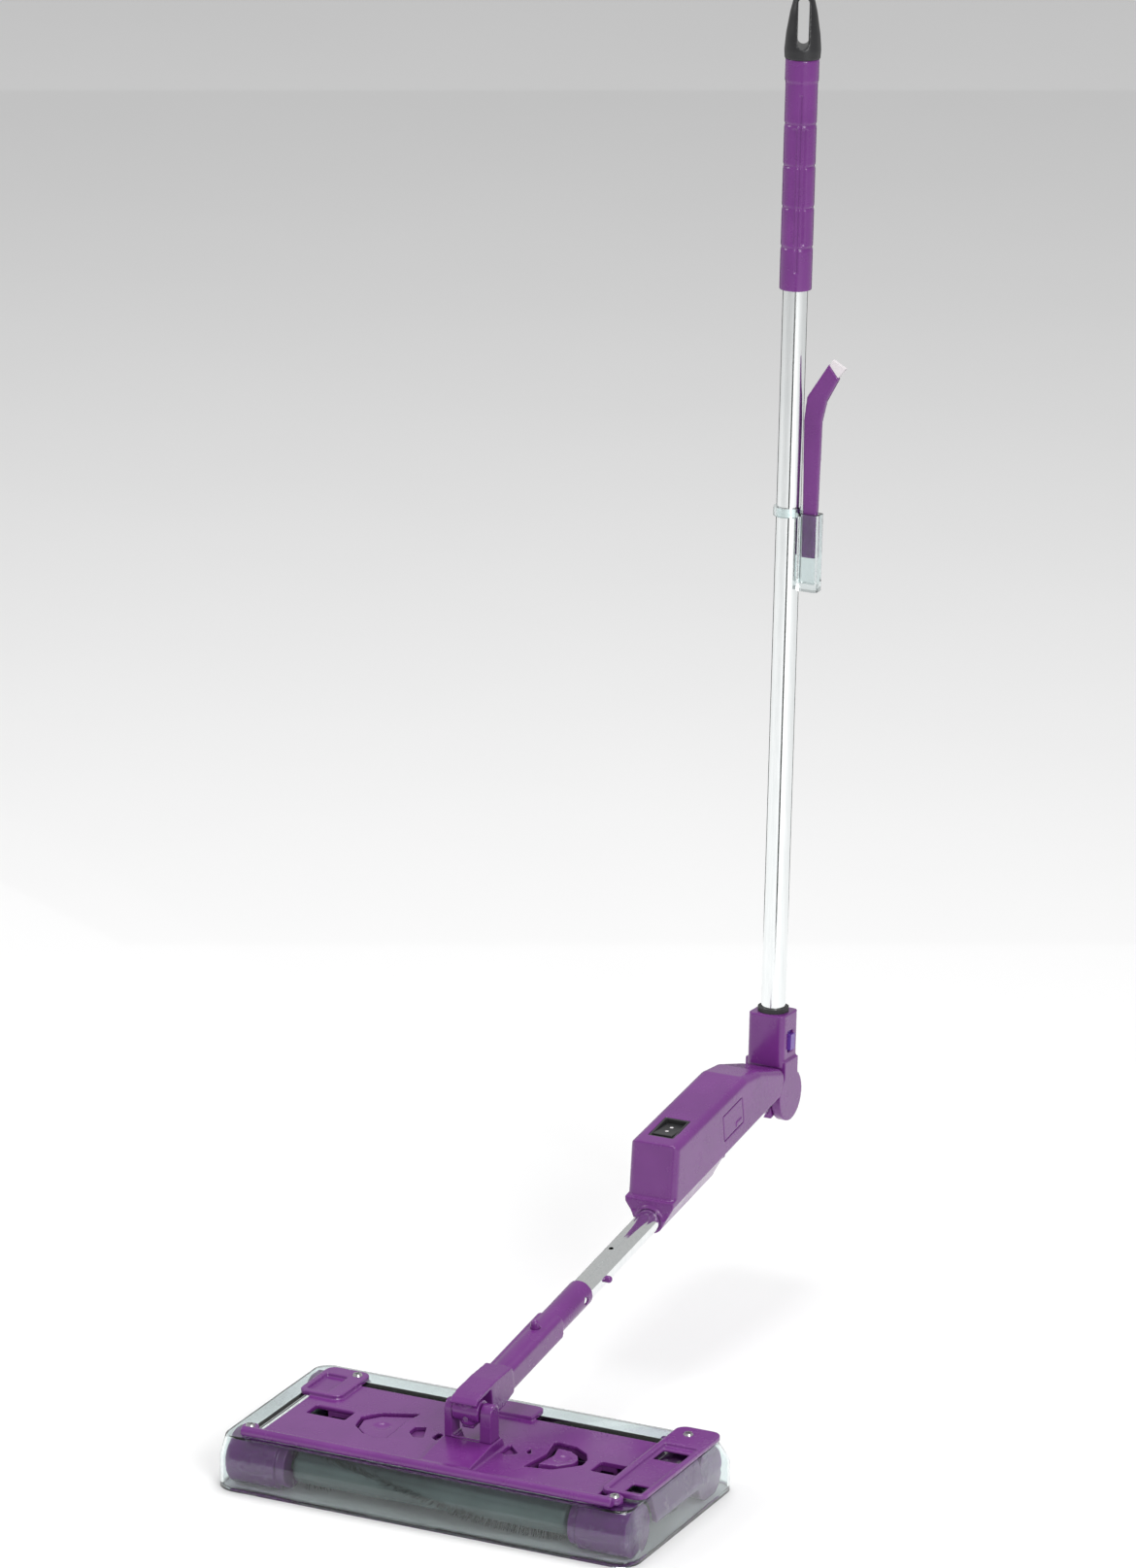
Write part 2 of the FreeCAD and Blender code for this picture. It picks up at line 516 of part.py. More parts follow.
case_side = [("262", "0"), ("266", "14"), ("276", "49"), ("380", "46.5"), ("401", "41"),
             ("434", "25"), ("432", "17"), ("426", "9.5"), ("342", "9.5"), ("338", "0")]
case_body = round_edges(profile("yz", case_side, "-case_half", "case_half"), 5,
                        lambda c, d: (abs(abs(c.x) - 17) < 0.1 and c.z > 18 and c.y < 433)
                        or (c.z > 20 and c.y < 300 and abs(d.x) < 0.2 and abs(abs(c.x) - 17) < 0.1))
keel = profile("xz", [("-case_half", "14"), ("case_half", "14"), ("case_half", "10"),
                      ("shell_rad - 0.4", "-3"), ("-shell_rad + 0.4", "-3"), ("-case_half", "10")],
               "-340", "-263.5")
waist = profile("xz", [("-30", "9"), ("-30", "-12"), ("-shell_rad + 0.4", "-12"),
                       ("-shell_rad + 0.4", "-3"), ("-case_half", "10"), ("-case_half - 3", "10")],
                "-341", "-255")
waist_right = profile("xz", [("30", "9"), ("30", "-12"), ("shell_rad - 0.4", "-12"),
                             ("shell_rad - 0.4", "-3"), ("case_half", "10"),
                             ("case_half + 3", "10")], "-341", "-255")
shell = cyl("y", ("0", "262", "0"), "shell_rad", "78")
hollow = profile("yz", [("273", "14"), ("280", "44"), ("379", "42"), ("398", "37"), ("425", "22"),
                        ("418", "13")], "-case_half + case_wall", "case_half - case_wall")
switch_hole = box("-9", "9", "286", "312", "switch_top - 9", "switch_top + 5")
cover_hole = box("case_half - 3", "case_half + 2", "342", "371", "19", "37")
case = cut(fuse(cut(case_body, waist, waist_right), keel, shell), hollow,
           cyl("y", ("0", "255", "0"), "tube_rad", "200"), switch_hole, cover_hole)
node(case, "battery_case", NECK)
pack = cut(box("-14.5", "12.5", "318", "396", "15", "28"), box("-20", "20", "386", "396", "24", "32"))
node(round_edges(pack, 2, lambda c, d: abs(d.y) > 0.9), "battery_pack", NECK)
node(fuse(box("case_half - 1.9", "case_half", "342.4", "370.6", "19.4", "36.6"),
          box("case_half - 0.2", "case_half + 0.6", "360", "368", "21", "24")), "battery_cover", NECK)
bezel = cut(box("-8.9", "8.9", "286.1", "311.9", "switch_top - 8.2", "switch_top"),
            box("-7.4", "7.4", "287.6", "310.4", "switch_top - 13", "switch_top + 7"),
            cyl("x", ("-8.4", "299", "switch_top - 4.2"), "1 + fit", "16.8"))
node(bezel, "switch_bezel", NECK)
rocker = profile("yz", [("288.6", "switch_top - 5.7"), ("288.6", "switch_top + 0.6"),
                        ("299", "switch_top - 1.2"), ("309.4", "switch_top - 2.6"),
                        ("309.4", "switch_top - 5.7"), ("299", "switch_top - 8.2")], "-6.9", "6.9")
node(fuse(rocker, cyl("x", ("-8.2", "299", "switch_top - 4.2"), "1", "16.4")), "rocker_switch", NECK)

# ---------------------------------------------------------------- elbow

knuckle = fuse(cyl("x", ("-knuckle_half", "neck_len", "0"), "12", "2 * knuckle_half"),
               box("-knuckle_half", "knuckle_half", "428", "446", "-10", "10"))
low_elbow = cut(knuckle, cyl("x", ("-20", "neck_len", "0"), "3.5", "40"),
                cyl("y", ("0", "427", "0"), "tube_rad", "11"))
node(low_elbow, "elbow_knuckle", NECK)
node(cyl("x", ("-cheek_out + 2", "neck_len", "0"), "3.5", "2 * cheek_out - 4"), "elbow_pin", NECK)

fork_sides = []
for a, b in (("-cheek_out", "-knuckle_half - 0.4"), ("knuckle_half + 0.4", "cheek_out")):
    fork_sides.append(cyl("x", (a, "0", "0"), "disc_rad", f"({b}) - ({a})"))
    fork_sides.append(box(a, b, "-10", "10", "0", "socket_low + 4"))
socket = round_edges(box("-socket_half - 1", "socket_half + 1", "-socket_half", "socket_half",
                         "socket_low", "socket_top"), 4, lambda c, d: abs(d.z) > 0.9)
bridge_block = box("-knuckle_half - 1", "knuckle_half + 1", "-10", "10", "socket_low - 8",
                   "socket_low + 4")
upper_elbow = cut(fuse(socket, bridge_block, *fork_sides),
                  cyl("z", ("0", "0", "socket_low + 5"), "tube_rad", "60"),
                  cyl("x", ("-13", "0", "0"), "3.5 + fit", "26"),
                  box("socket_half - 3", "socket_half + 3", "-4", "4", "30", "44"),
                  box("-socket_half - 2", "-socket_half + 1", "-5", "5", "44", "53"))
node(upper_elbow, "elbow_socket", POLE)
node(fuse(box("socket_half - 1.9", "socket_half - 0.6", "-3.7", "3.7", "30.4", "43.6"),
          box("socket_half - 0.8", "socket_half + 2.8", "-3", "3", "31.5", "42")),
     "latch_button", POLE)

# ---------------------------------------------------------------- pole, grip and cap

def hollow_tube(low, high):
    return cut(cyl("z", ("0", "0", low), "tube_rad", f"({high}) - ({low})"),
               cyl("z", ("0", "0", f"({low}) - 1"), "tube_rad - tube_wall",
                   f"({high}) - ({low}) + 2"))


node(hollow_tube("socket_low + 5", "band_at"), "pole_tube_lower", POLE)
node(hollow_tube("band_at", "grip_low + 30"), "pole_tube_upper", POLE)
node(cut(cyl("z", ("0", "0", "socket_top"), "tube_rad + 2.2", "3"),
         cyl("z", ("0", "0", "socket_top - 1"), "tube_rad", "5")), "socket_ring", POLE)
node(cyl("z", ("0", "0", "band_at - 30"), "tube_rad - tube_wall", "60"), "joint_spigot", POLE)

grip_form = fuse(cyl("z", ("0", "0", "grip_low"), "grip_rad", "grip_top - grip_low"),
                 cyl("z", ("0", "0", "grip_top - 14"), "grip_rad + 0.5", "14"))
grooves = [ring("z", ("0", "0", f"grip_low + {at}"), "grip_rad + 0.4", "1.1")
           for at in (28, 54, 81, 108)]
finger = [box("-1", "1", "-grip_rad - 1", "-grip_rad + 1", "grip_low + 12", "grip_top - 22"),
          box("-6.6", "-1.6", "-grip_rad - 1", "-grip_rad + 1.4", "grip_low + 30", "grip_top - 44"),
          box("1.6", "6.6", "-grip_rad - 1", "-grip_rad + 1.4", "grip_low + 30", "grip_top - 44")]
grip = cut(grip_form, cyl("z", ("0", "0", "grip_low - 1"), "tube_rad", "32"), *grooves, *finger,
           cyl("z", ("0", "0", "grip_top - 20"), "6", "21"))
node(grip, "grip", GRIP)
steps = [("cap_rad - 0.4", "cap_rad", "6"), ("cap_rad", "cap_rad - 0.8", "10"),
         ("cap_rad - 0.8", "cap_rad - 3", "14"), ("cap_rad - 3", "cap_rad - 6.6", "15")]
bands = []
level = "grip_top"
for low, high, tall in steps:
    bands.append(cone("z", ("0", "0", level), low, high, tall))
    level = f"{level} + {tall}"
cap_form = fuse(*bands, cyl("z", ("0", "0", "grip_top - 20"), "6", "21"))
hang = fuse(box("-3.6", "3.6", "-20", "20", "grip_top + 11", "grip_top + 36"),
            cyl("y", ("0", "-20", "grip_top + 11"), "3.6", "40"),
            cyl("y", ("0", "-20", "grip_top + 36"), "3.6", "40"))
node(cut(cap_form, hang), "end_cap", GRIP)

# ---------------------------------------------------------------- cleaning comb and its holder

clip = cut(fuse(cyl("z", ("0", "0", "band_at - 4"), "tube_rad + 1.8", "6"),
                round_edges(box("tube_rad + 0.2", "23", "-5", "5", "band_at - 52", "band_at - 1"), 2,
                            lambda c, d: abs(d.z) > 0.9)),
           cyl("z", ("0", "0", "band_at - 60"), "tube_rad", "70"),
           box("comb_x - 5.4", "comb_x + 5.4", "-2.8", "2.8", "band_at - 47", "band_at + 1"))
node(clip, "comb_holder", POLE)
handle = profile("xz", [("11", "band_at - 30"), ("10.8", "band_at"), ("9.6", "band_at + 60"),
                        ("11.4", "band_at + 76"), ("26", "band_at + 99"), ("33", "band_at + 90"),
                        ("24.6", "band_at + 74"), ("21.5", "band_at + 60"), ("20.4", "band_at"),
                        ("20.2", "band_at - 30")], "-2.4", "2.4")
node(round_edges(handle, 0.8, lambda c, d: abs(d.y) < 0.1), "comb_handle", POLE)
tip = profile("xz", [("26.6", "band_at + 98.2"), ("28.4", "band_at + 102"), ("37.5", "band_at + 97"),
                     ("32.6", "band_at + 90.8")], "-1.6", "1.6")
node(tip, "comb_tip", POLE)

# ---------------------------------------------------------------- checks and export

doc.recompute()
for obj in doc.Objects:
    if "Invalid" in obj.State or "Error" in obj.State:
        raise RuntimeError(f"{obj.Label} did not build")
os.makedirs("parts", exist_ok=True)
for obj in NODES:
    if obj.Shape.isNull() or not obj.Shape.isValid():
        raise RuntimeError(f"{obj.Label} has a bad shape")
    if obj.Shape.Volume < 1:
        raise RuntimeError(f"{obj.Label} is empty")
    obj.Shape.exportStep(f"parts/{obj.Label}.step")
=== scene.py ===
import bpy
import bmesh
import json
import math
import random
from mathutils import Matrix, Vector


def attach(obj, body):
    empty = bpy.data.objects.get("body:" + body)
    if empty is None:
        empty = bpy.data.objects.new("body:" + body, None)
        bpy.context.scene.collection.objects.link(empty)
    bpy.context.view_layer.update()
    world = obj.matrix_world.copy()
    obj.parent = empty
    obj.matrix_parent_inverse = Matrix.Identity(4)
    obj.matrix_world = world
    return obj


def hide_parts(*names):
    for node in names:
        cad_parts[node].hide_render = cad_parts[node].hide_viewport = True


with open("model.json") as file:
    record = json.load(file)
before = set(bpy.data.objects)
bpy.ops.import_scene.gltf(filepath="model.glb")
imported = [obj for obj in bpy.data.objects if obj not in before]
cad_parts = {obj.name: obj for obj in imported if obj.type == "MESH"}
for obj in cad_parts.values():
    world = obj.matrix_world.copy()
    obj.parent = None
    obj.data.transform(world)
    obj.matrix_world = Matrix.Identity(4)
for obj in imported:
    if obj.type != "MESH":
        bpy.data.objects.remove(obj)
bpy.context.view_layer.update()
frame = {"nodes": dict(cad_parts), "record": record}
nodes = frame["nodes"]

# ---------------------------------------------------------------- the neck's and the pole's own axes
PIVOT = Vector((0.008, -0.030, 0.060))
NECK = Matrix.Translation(PIVOT) @ Matrix.Rotation(math.radians(8.6), 4, "X")
ELBOW = NECK @ Vector((0, 0.446, 0))
POLE = Matrix.Translation(ELBOW) @ Matrix.Rotation(math.radians(-2.95), 4, "X")
GRIP = POLE @ Matrix.Rotation(math.radians(24), 4, "Z")
FLOOR = Matrix.Identity(4)

# height of the brush axles above the floor
AXLE = 0.0164


# ---------------------------------------------------------------- small helpers

def placed(name, data):
    """A new object in the scene."""
    obj = bpy.data.objects.new(name, data)
    bpy.context.scene.collection.objects.link(obj)
    return obj


def mesh_of(name, form):
    """A finished bmesh as a mesh."""
    mesh = bpy.data.meshes.new(name)
    form.to_mesh(mesh)
    form.free()
    return mesh


# ---------------------------------------------------------------- camera
EYE = (2.29824, -4.46404, 2.12024)
LOOK_DOWN = 18.3
LOOK_LEFT = 26.58
FOCAL_LENGTH = 276.92
view = bpy.data.cameras.new("view")
view.sensor_fit = "HORIZONTAL"
view.sensor_width = 36
view.lens = FOCAL_LENGTH
view.clip_end = 60
eye = placed("view", view)
eye.location = EYE
eye.rotation_euler = (math.radians(90 - LOOK_DOWN), 0, math.radians(LOOK_LEFT))
bpy.context.scene.camera = eye
bpy.context.scene.view_settings.view_transform = "Standard"


# ---------------------------------------------------------------- materials

def principled(name):
    """A new material, its node tree and its Principled shader."""
    mat = bpy.data.materials.new(name)
    mat.use_nodes = True
    tree = mat.node_tree
    shader = next(n for n in tree.nodes if n.type == "BSDF_PRINCIPLED")
    return mat, tree, shader


def add(tree, kind, **values):
    """A new node, with the named input sockets set."""
    made = tree.nodes.new(kind)
    for name, value in values.items():
        made.inputs[name].default_value = value
    return made


def coords(tree, stretch=(1, 1, 1)):
    """The object's own coordinates, stretched along each axis."""
    where = add(tree, "ShaderNodeTexCoord")
    scale = add(tree, "ShaderNodeMapping")
    scale.inputs["Scale"].default_value = stretch
    tree.links.new(where.outputs["Object"], scale.inputs["Vector"])
    return scale.outputs["Vector"]


def noise(tree, vector, scale, detail=3.0, rough=0.55):
    """A noise texture's factor, finer as the scale rises."""
    made = add(tree, "ShaderNodeTexNoise", Scale=scale, Detail=detail, Roughness=rough)
    tree.links.new(vector, made.inputs["Vector"])
    return made.outputs["Fac"]


def ramp(tree, fac, stops):
    """Colours set along a factor, each stop a place and a colour."""
    made = add(tree, "ShaderNodeValToRGB")
    band = made.color_ramp
    while len(band.elements) < len(stops):
        band.elements.new(0.5)
    for element, (at, colour) in zip(band.elements, stops):
        element.position = at
        element.color = (*colour, 1)
    tree.links.new(fac, made.inputs["Fac"])
    return made.outputs["Color"]


def spread(tree, fac, low, high):
    """Maps a noise to a range of numbers."""
    made = add(tree, "ShaderNodeMapRange")
    made.inputs["From Min"].default_value = 0.3
    made.inputs["From Max"].default_value = 0.7
    made.inputs["To Min"].default_value = low
    made.inputs["To Max"].default_value = high
    tree.links.new(fac, made.inputs["Value"])
    return made.outputs["Result"]


def bump(tree, shader, height, strength, distance):
    """Fine relief on the surface from a height."""
    made = add(tree, "ShaderNodeBump", Strength=strength, Distance=distance)
    tree.links.new(height, made.inputs["Height"])
    tree.links.new(made.outputs["Normal"], shader.inputs["Normal"])


def moulded(name, dark, light, rough=(0.2, 0.34), coat=0.0, grain=0.03, fine=2600):
    """Moulded plastic: faint flow marks in the colour, an uneven gloss and a very fine skin."""
    mat, tree, shader = principled(name)
    where = coords(tree)
    flow = noise(tree, where, 26, 4)
    tree.links.new(ramp(tree, flow, [(0.32, dark), (0.68, light)]), shader.inputs["Base Color"])
    wear = noise(tree, where, 75, 6, 0.65)
    tree.links.new(spread(tree, wear, *rough), shader.inputs["Roughness"])
    bump(tree, shader, noise(tree, where, fine, 2), grain, 0.0002)
    shader.inputs["Coat Weight"].default_value = coat
    shader.inputs["Coat Roughness"].default_value = 0.12
    shader.inputs["IOR"].default_value = 1.5
    return mat


def metal(name, dark, light, rough, stretch, grain=0.05):
    """Drawn and polished metal, with fine lines along the tube."""
    mat, tree, shader = principled(name)
    lines = noise(tree, coords(tree, stretch), 900, 3)
    tree.links.new(ramp(tree, lines, [(0.3, dark), (0.7, light)]), shader.inputs["Base Color"])
    tree.links.new(spread(tree, noise(tree, coords(tree), 60, 4), *rough), shader.inputs["Roughness"])
    shader.inputs["Metallic"].default_value = 1
    bump(tree, shader, lines, grain, 0.0001)
    return mat


def clear(name, tint, rough=(0.02, 0.07)):
    """Clear moulded plastic with faint scuffs."""
    mat, tree, shader = principled(name)
    where = coords(tree)
    cloud = noise(tree, where, 30, 3)
    pale = tuple(min(1, c * 1.03) for c in tint)
    tree.links.new(ramp(tree, cloud, [(0.35, tint), (0.65, pale)]), shader.inputs["Base Color"])
    tree.links.new(spread(tree, noise(tree, where, 140, 5), *rough), shader.inputs["Roughness"])
    shader.inputs["Transmission Weight"].default_value = 1
    shader.inputs["IOR"].default_value = 1.46
    bump(tree, shader, noise(tree, where, 45, 2), 0.05, 0.0004)
    return mat


MATERIALS = {
    "purple": moulded("purple_plastic", (0.134, 0.020, 0.178), (0.160, 0.027, 0.208),
                      (0.18, 0.32), coat=0.25),
    "clear": clear("clear_plastic", (0.86, 0.925, 0.925)),
    "black": moulded("black_plastic", (0.010, 0.010, 0.011), (0.020, 0.020, 0.022), (0.26, 0.42)),
    "black_matte": moulded("black_matte", (0.016, 0.016, 0.017), (0.030, 0.030, 0.031),
                           (0.5, 0.66), grain=0.12, fine=1500),
    "tube": metal("drawn_aluminium", (0.84, 0.87, 0.87), (0.93, 0.95, 0.95), (0.06, 0.14),
                  (1, 1, 0.03)),
    "steel": metal("zinc_steel", (0.42, 0.42, 0.43), (0.66, 0.66, 0.66), (0.2, 0.4), (1, 1, 1)),
    "core": moulded("core_plastic", (0.085, 0.115, 0.115), (0.15, 0.19, 0.19), (0.3, 0.5)),
    "bristle": moulded("bristle_nylon", (0.010, 0.020, 0.017), (0.030, 0.050, 0.044),
                       (0.34, 0.5)),
    "tray": moulded("tray_plastic", (0.115, 0.025, 0.145), (0.15, 0.035, 0.185), (0.3, 0.5)),
    "latch": moulded("latch_plastic", (0.105, 0.030, 0.27), (0.14, 0.045, 0.34), (0.2, 0.3),
                     coat=0.3),
    "tip": moulded("tip_plastic", (0.62, 0.58, 0.60), (0.74, 0.70, 0.72), (0.25, 0.4)),
    "pack": moulded("pack_wrap", (0.03, 0.06, 0.12), (0.05, 0.09, 0.17), (0.3, 0.5)),
    "wheel": moulded("wheel_rubber", (0.035, 0.035, 0.037), (0.06, 0.06, 0.062), (0.5, 0.7)),
}
SLOT_OF = {row["node"]: row["material_slot"] for row in frame["record"]["subparts"]}
BODY_OF = {n: body for body, names in frame["record"]["behaviour"]["bodies"].items() for n in names}
for name, obj in nodes.items():
    for place in obj.material_slots:
        place.material = MATERIALS[SLOT_OF[name]]
    if not obj.material_slots:
        obj.data.materials.append(MATERIALS[SLOT_OF[name]])


def piece(name, mesh, body, slot, stands_for=(), smooth=True):
    """A finished mesh as a piece that rides on a body, with its slot's material."""
    obj = placed(name, mesh)
    mesh.materials.clear()
    mesh.materials.append(MATERIALS[slot])
    if smooth:
        mesh.shade_smooth()
    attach(obj, body)
    if stands_for:
        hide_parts(*stands_for)


def applied(obj):
    """The mesh that an object's modifiers make of it; the object itself goes."""
    bpy.context.view_layer.update()
    graph = bpy.context.evaluated_depsgraph_get()
    mesh = bpy.data.meshes.new_from_object(obj.evaluated_get(graph))
    bpy.data.objects.remove(obj)
    return mesh


def loose(mesh):
    """A plain working object that holds a mesh while modifiers are applied to it."""
    return placed("work", mesh)


# ---------------------------------------------------------------- moulded parts with softened edges

# side of the cubes that a part is redrawn from, and the rounds of smoothing that follow
COARSE = (0.0006, 4)
FINE = (0.0004, 3)
# share of the faces that are kept afterwards
KEPT_FACES = 0.4


def softened(name, axes, grain=COARSE):
    """A moulded part with its corners rounded off, drawn along its own axes so that flats stay flat."""
    cell, rounds = grain
    mesh = nodes[name].data.copy()
    mesh.transform(axes.inverted())
    obj = loose(mesh)
    grid = obj.modifiers.new("grid", "REMESH")
    grid.mode = "VOXEL"
    grid.voxel_size = cell
    ease = obj.modifiers.new("ease", "SMOOTH")
    ease.factor = 0.5
    ease.iterations = rounds
    fewer = obj.modifiers.new("fewer", "DECIMATE")
    fewer.ratio = KEPT_FACES
    mesh = applied(obj)
    mesh.transform(axes)
    piece(name + "_form", mesh, BODY_OF[name], SLOT_OF[name], [name])


for name in ("deck", "end_bridge", "swivel_bracket", "gear_housing_fl", "gear_housing_fr",
             "gear_housing_rl", "gear_housing_rr", "bin_button_left", "bin_button_right"):
    softened(name, FLOOR)
for name in ("neck_yoke", "swivel_block", "battery_case", "elbow_knuckle"):
    softened(name, NECK)
for name in ("rocker_switch", "switch_bezel", "battery_cover"):
    softened(name, NECK, FINE)
for name in ("elbow_socket", "comb_handle"):
    softened(name, POLE)
for name in ("grip", "end_cap"):
    softened(name, GRIP)


DOT_RADIUS = 0.0012
DOTS_ALONG_NECK = (0.2955, 0.3025)


def rocker_dots():
    """Two pale dots on the rocker's face, set along the neck."""
    mesh = nodes["rocker_switch"].data.copy()
    mesh.transform(NECK.inverted())
    face = loose(mesh)
    form = bmesh.new()
    for along in DOTS_ALONG_NECK:
        _, spot, normal, _ = face.ray_cast(Vector((0, along, 0.08)), Vector((0, 0, -1)))
        turn = normal.to_track_quat("Z", "Y").to_matrix().to_4x4()
        bmesh.ops.create_circle(form, cap_ends=True, segments=24, radius=DOT_RADIUS,
                                matrix=Matrix.Translation(spot + normal * 0.0001) @ turn)
    bpy.data.objects.remove(face)
    mesh = mesh_of("rocker_dots", form)
    mesh.transform(NECK)
    piece("rocker_dots", mesh, BODY_OF["rocker_switch"], "tip")


rocker_dots()

# ---------------------------------------------------------------- clear cover

def rim(half, front, back, radius, z, steps=10):
    """A rounded rectangle as a ring of points."""
    ring = []
    corners = ((half - radius, back - radius, 0), (-half + radius, back - radius, 90),
               (-half + radius, front + radius, 180), (half - radius, front + radius, 270))
    for cx, cy, start in corners:
        for k in range(steps + 1):
            a = math.radians(start + 90 * k / steps)
            ring.append(Vector((cx + radius * math.cos(a), cy + radius * math.sin(a), z)))
    return ring


COVER_WALL = 0.0018
# opening in the cover's top: left, right, front, back
COVER_WINDOW = (-0.1203, 0.1123, -0.0663, 0.0363)


def cover():
    """A thin drawn shell: upright below the knee, leaning in above it, with a rounded shoulder."""
    path = [(0.0, 0.0), (0.004, 0.0), (0.012, 0.0), (0.0175, 0.0), (0.0188, 0.006), (0.0200, 0.03),
            (0.0212, 0.09), (0.0225, 0.17), (0.027, 0.46), (0.031, 0.73), (0.0330, 0.87),
            (0.0340, 0.97), (0.0346, 1.10), (0.03490, 1.27), (0.035, 1.5)]
    rings = []
    for z, lean in path:
        rings.append(rim(0.145 - 0.004 * lean, -0.075 + 0.004 * lean, 0.075 - 0.012 * lean,
                         0.014 - 0.004 * min(lean, 1), z))
    left, right, front, back = COVER_WINDOW
    inner = []
    for corner, (x, y) in enumerate(((right, back), (left, back), (left, front), (right, front))):
        for k in range(11):
            a = math.radians(90 * corner + 9 * k)
            shift = Vector((math.cos(a), math.sin(a), 0)) * 0.002
            pull = Vector(((-1, 1, 1, -1)[corner], (-1, -1, 1, 1)[corner], 0)) * 0.002
            inner.append(Vector((x, y, 0.035)) + shift + pull)
    rings.append([a.lerp(b, 0.5) for a, b in zip(rings[-1], inner)])
    rings.append(inner)
    form = bmesh.new()
    made = [[form.verts.new(p) for p in ring] for ring in rings]
    for low, high in zip(made, made[1:]):
        for i in range(len(low)):
            j = (i + 1) % len(low)
            form.faces.new((low[i], low[j], high[j], high[i]))
    bmesh.ops.remove_doubles(form, verts=form.verts, dist=1e-6)
    bmesh.ops.recalc_face_normals(form, faces=form.faces)
    obj = loose(mesh_of("cover", form))
    wall = obj.modifiers.new("wall", "SOLIDIFY")
    wall.thickness = COVER_WALL
    wall.offset = -1
    piece("clear_cover", applied(obj), "head", "clear", ["skirt_cover"])


cover()

# ---------------------------------------------------------------- brushes

def hair(form, root, way, length, thick, bend):
    """One bristle: a tapering three-sided stem with a slight bend."""
    side = way.orthogonal().normalized()
    other = way.cross(side)
    rows = []
    for t in (0.0, 0.55, 1.0):
        middle = root + way * (length * t) + bend * (t * t)
        wide = thick * (1 - 0.45 * t)
        rows.append([form.verts.new(middle + side * (wide * math.cos(a)) + other * (wide * math.sin(a)))
                     for a in (0.0, 2.094, 4.189)])
    for low, high in zip(rows, rows[1:]):
        for i in range(3):
            j = (i + 1) % 3
            form.faces.new((low[i], low[j], high[j], high[i]))
    form.faces.new(rows[-1])
    form.faces.new(rows[0][::-1])


BRISTLE_RADIUS = 0.00017
BRISTLES_PER_TUFT = 22
TUFT_PITCH = 0.0042
# how far from the axle a bristle is rooted, and the shortest and the longest bristle
ROOT_RADIUS = 0.0052
BRISTLE_LENGTHS = (0.0088, 0.0103)


def tufts(label, axis, centre, low, high, phase, seed):
    """Two helical rows of tufts, each a small fan of bristles set in the core."""
    rand = random.Random(seed)
    form = bmesh.new()
    along = Vector((1, 0, 0)) if axis == "x" else Vector((0, 1, 0))
    across = Vector((0, 1, 0)) if axis == "x" else Vector((1, 0, 0))
    spin_axis = "X" if axis == "x" else "Y"
    count = 6 if axis == "x" else 3
    step = (high - low - 0.006) / count
    number = int((high - low - 0.008) / TUFT_PITCH)
    for side in (0, 180):
        for i in range(number):
            at = low + 0.004 + TUFT_PITCH * (i + 0.5)
            turn = phase + side + 30 * ((at - low - 0.003) / step - 0.5)
            spin = Matrix.Rotation(math.radians(turn), 3, spin_axis)
            for _ in range(BRISTLES_PER_TUFT):
                lean = rand.gauss(0, 0.085)
                slip = rand.gauss(0, 0.075)
                way = spin @ (Vector((0, 0, 1)) + across * lean + along * slip).normalized()
                spot = at + rand.uniform(-0.0012, 0.0012)
                root = centre + along * spot + way * ROOT_RADIUS
                root += spin @ across * rand.uniform(-0.0008, 0.0008)
                bend = spin @ across * rand.uniform(-0.0007, 0.0012)
                hair(form, root, way, rand.uniform(*BRISTLE_LENGTHS), BRISTLE_RADIUS, bend)
    piece(label + "_bristles", mesh_of(label, form), label, "bristle", [label + "_tufts"], smooth=False)


FLUTE_COUNT = 12
FLUTE_DEPTH = 0.00022
FLUTE_TWIST = 26


def hub(label, y, low, high, radius, seed):
    """The stout sleeve of a long brush, with shallow flutes running round it in a slow helix."""
    rand = random.Random(seed)
    form = bmesh.new()
    rings = []
    long, around = 96, 72
    for i in range(long + 1):
        x = low + (high - low) * i / long
        ring = []
        for k in range(around):
            a = 2 * math.pi * k / around
            wave = FLUTE_DEPTH * math.sin(FLUTE_COUNT * a + FLUTE_TWIST * (x - low))
            wave += rand.uniform(-0.00003, 0.00003)
            r = (radius + wave) * (1 if 0 < i < long else 0.93)
            ring.append(form.verts.new((x, y + r * math.sin(a), AXLE + r * math.cos(a))))
        rings.append(ring)
    for one, two in zip(rings, rings[1:]):
        for k in range(around):
            j = (k + 1) % around
            form.faces.new((one[k], one[j], two[j], two[k]))
    form.faces.new(rings[0][::-1])
    form.faces.new(rings[-1])
    bmesh.ops.recalc_face_normals(form, faces=form.faces)
    piece(label + "_hub", mesh_of(label, form), label, "core")


HUB_RADIUS = 0.0103
# label, place of its axle, and the angle at which its first tufts stand
LONG_BRUSHES = (("brush_front", -0.053, 20), ("brush_rear", 0.048, 65))
SIDE_BRUSHES = (("brush_left", -0.122, 40), ("brush_right", 0.122, 85))
for seed, (label, y, _) in enumerate(LONG_BRUSHES, 5):
    hub(label, y, -0.094, 0.094, HUB_RADIUS, seed)
for seed, (label, y, phase) in enumerate(LONG_BRUSHES, 11):
    tufts(label, "x", Vector((0, y, AXLE)), -0.095, 0.095, phase, seed)
for seed, (label, x, phase) in enumerate(SIDE_BRUSHES, 13):
    tufts(label, "y", Vector((x, 0, AXLE)), -0.031, 0.026, phase, seed)

# ---------------------------------------------------------------- floor and light

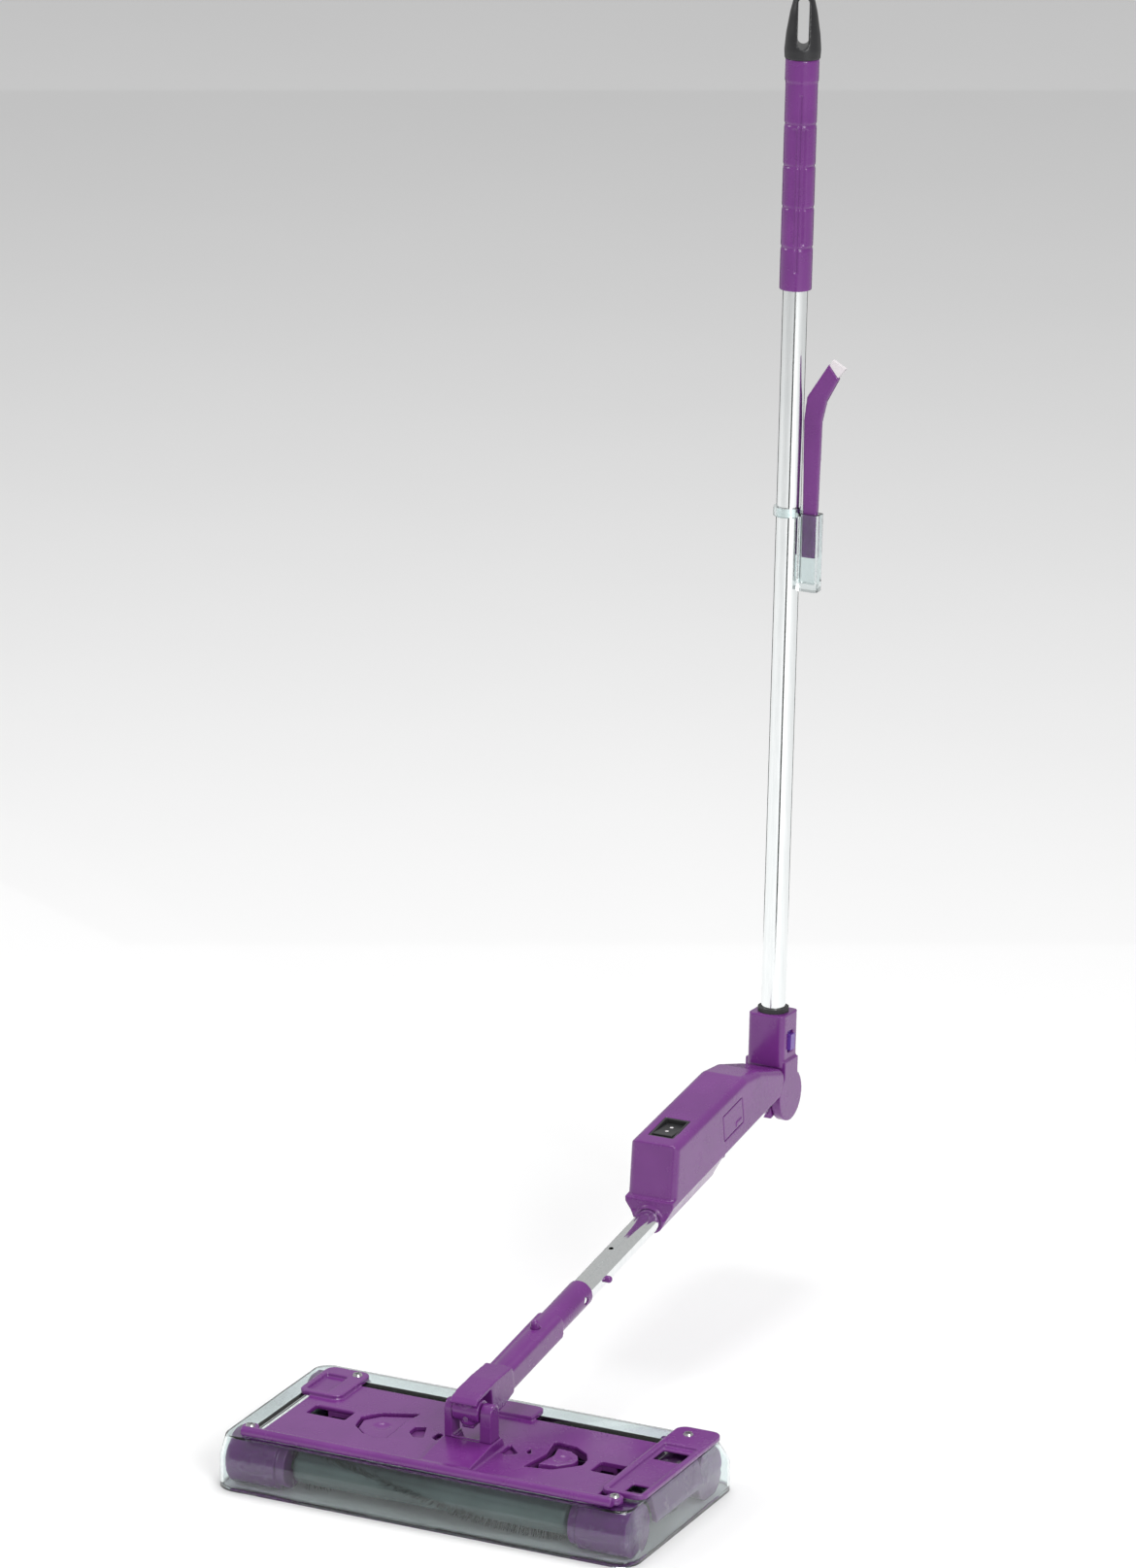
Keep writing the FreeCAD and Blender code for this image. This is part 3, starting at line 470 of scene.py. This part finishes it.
def sheet_of(name, size, place, colour, rough):
    form = bmesh.new()
    bmesh.ops.create_grid(form, x_segments=4, y_segments=4, size=size)
    mesh = mesh_of(name, form)
    obj = placed(name, mesh)
    obj.location = place
    mat, tree, shader = principled(name)
    cloud = noise(tree, coords(tree), 3, 3)
    pale = tuple(min(1, c * 1.01) for c in colour)
    tree.links.new(ramp(tree, cloud, [(0.3, colour), (0.7, pale)]), shader.inputs["Base Color"])
    shader.inputs["Roughness"].default_value = rough
    mesh.materials.append(mat)


sheet_of("floor", 30, (0, 0, -0.0002), (0.90, 0.90, 0.90), 0.7)

world = bpy.data.worlds.new("studio")
bpy.context.scene.world = world
world.use_nodes = True
world.node_tree.nodes["Background"].inputs["Color"].default_value = (1, 1, 1, 1)
world.node_tree.nodes["Background"].inputs["Strength"].default_value = 0.5


def lamp(name, place, target, size, power):
    light = bpy.data.lights.new(name, "AREA")
    light.shape = "RECTANGLE"
    light.size, light.size_y = size
    light.energy = power
    obj = placed(name, light)
    obj.location = place
    obj.rotation_euler = (Vector(target) - Vector(place)).to_track_quat("-Z", "Y").to_euler()


def flag(name, aim, near, far, spread_deg):
    """A dark card flat on the floor that only reflections see, as a studio uses on bright metal."""
    form = bmesh.new()
    base = POLE.translation.xy
    corners = []
    for side, reach in ((-1, near), (1, near), (1, far), (-1, far)):
        a = math.radians(aim + side * spread_deg)
        corners.append(form.verts.new((base.x + reach * math.sin(a), base.y + reach * math.cos(a),
                                       0.002)))
    form.faces.new(corners)
    mesh = mesh_of(name, form)
    obj = placed(name, mesh)
    mat, tree, shader = principled(name)
    cloud = noise(tree, coords(tree), 6, 2)
    tree.links.new(ramp(tree, cloud, [(0.3, (0.01, 0.01, 0.01)), (0.7, (0.02, 0.02, 0.02))]),
                   shader.inputs["Base Color"])
    shader.inputs["Roughness"].default_value = 1
    mesh.materials.append(mat)
    obj.visible_camera = False
    obj.visible_diffuse = False
    obj.visible_shadow = False
    obj.visible_transmission = False


lamp("key", (2.4, -1.9, 1.9), (0, 0, 0.3), (1.4, 1.4), 62)
lamp("rim", (-2.4, -0.6, 2.2), (0, 0, 0.3), (0.8, 1.6), 20)
lamp("top", (0.0, 0.6, 2.8), (0, 0.1, 0.2), (1.8, 1.0), 36)
flag("flag_front", 153.4, 0.95, 4.0, 7)
flag("flag_back", -26.6, 0.8, 4.0, 35)
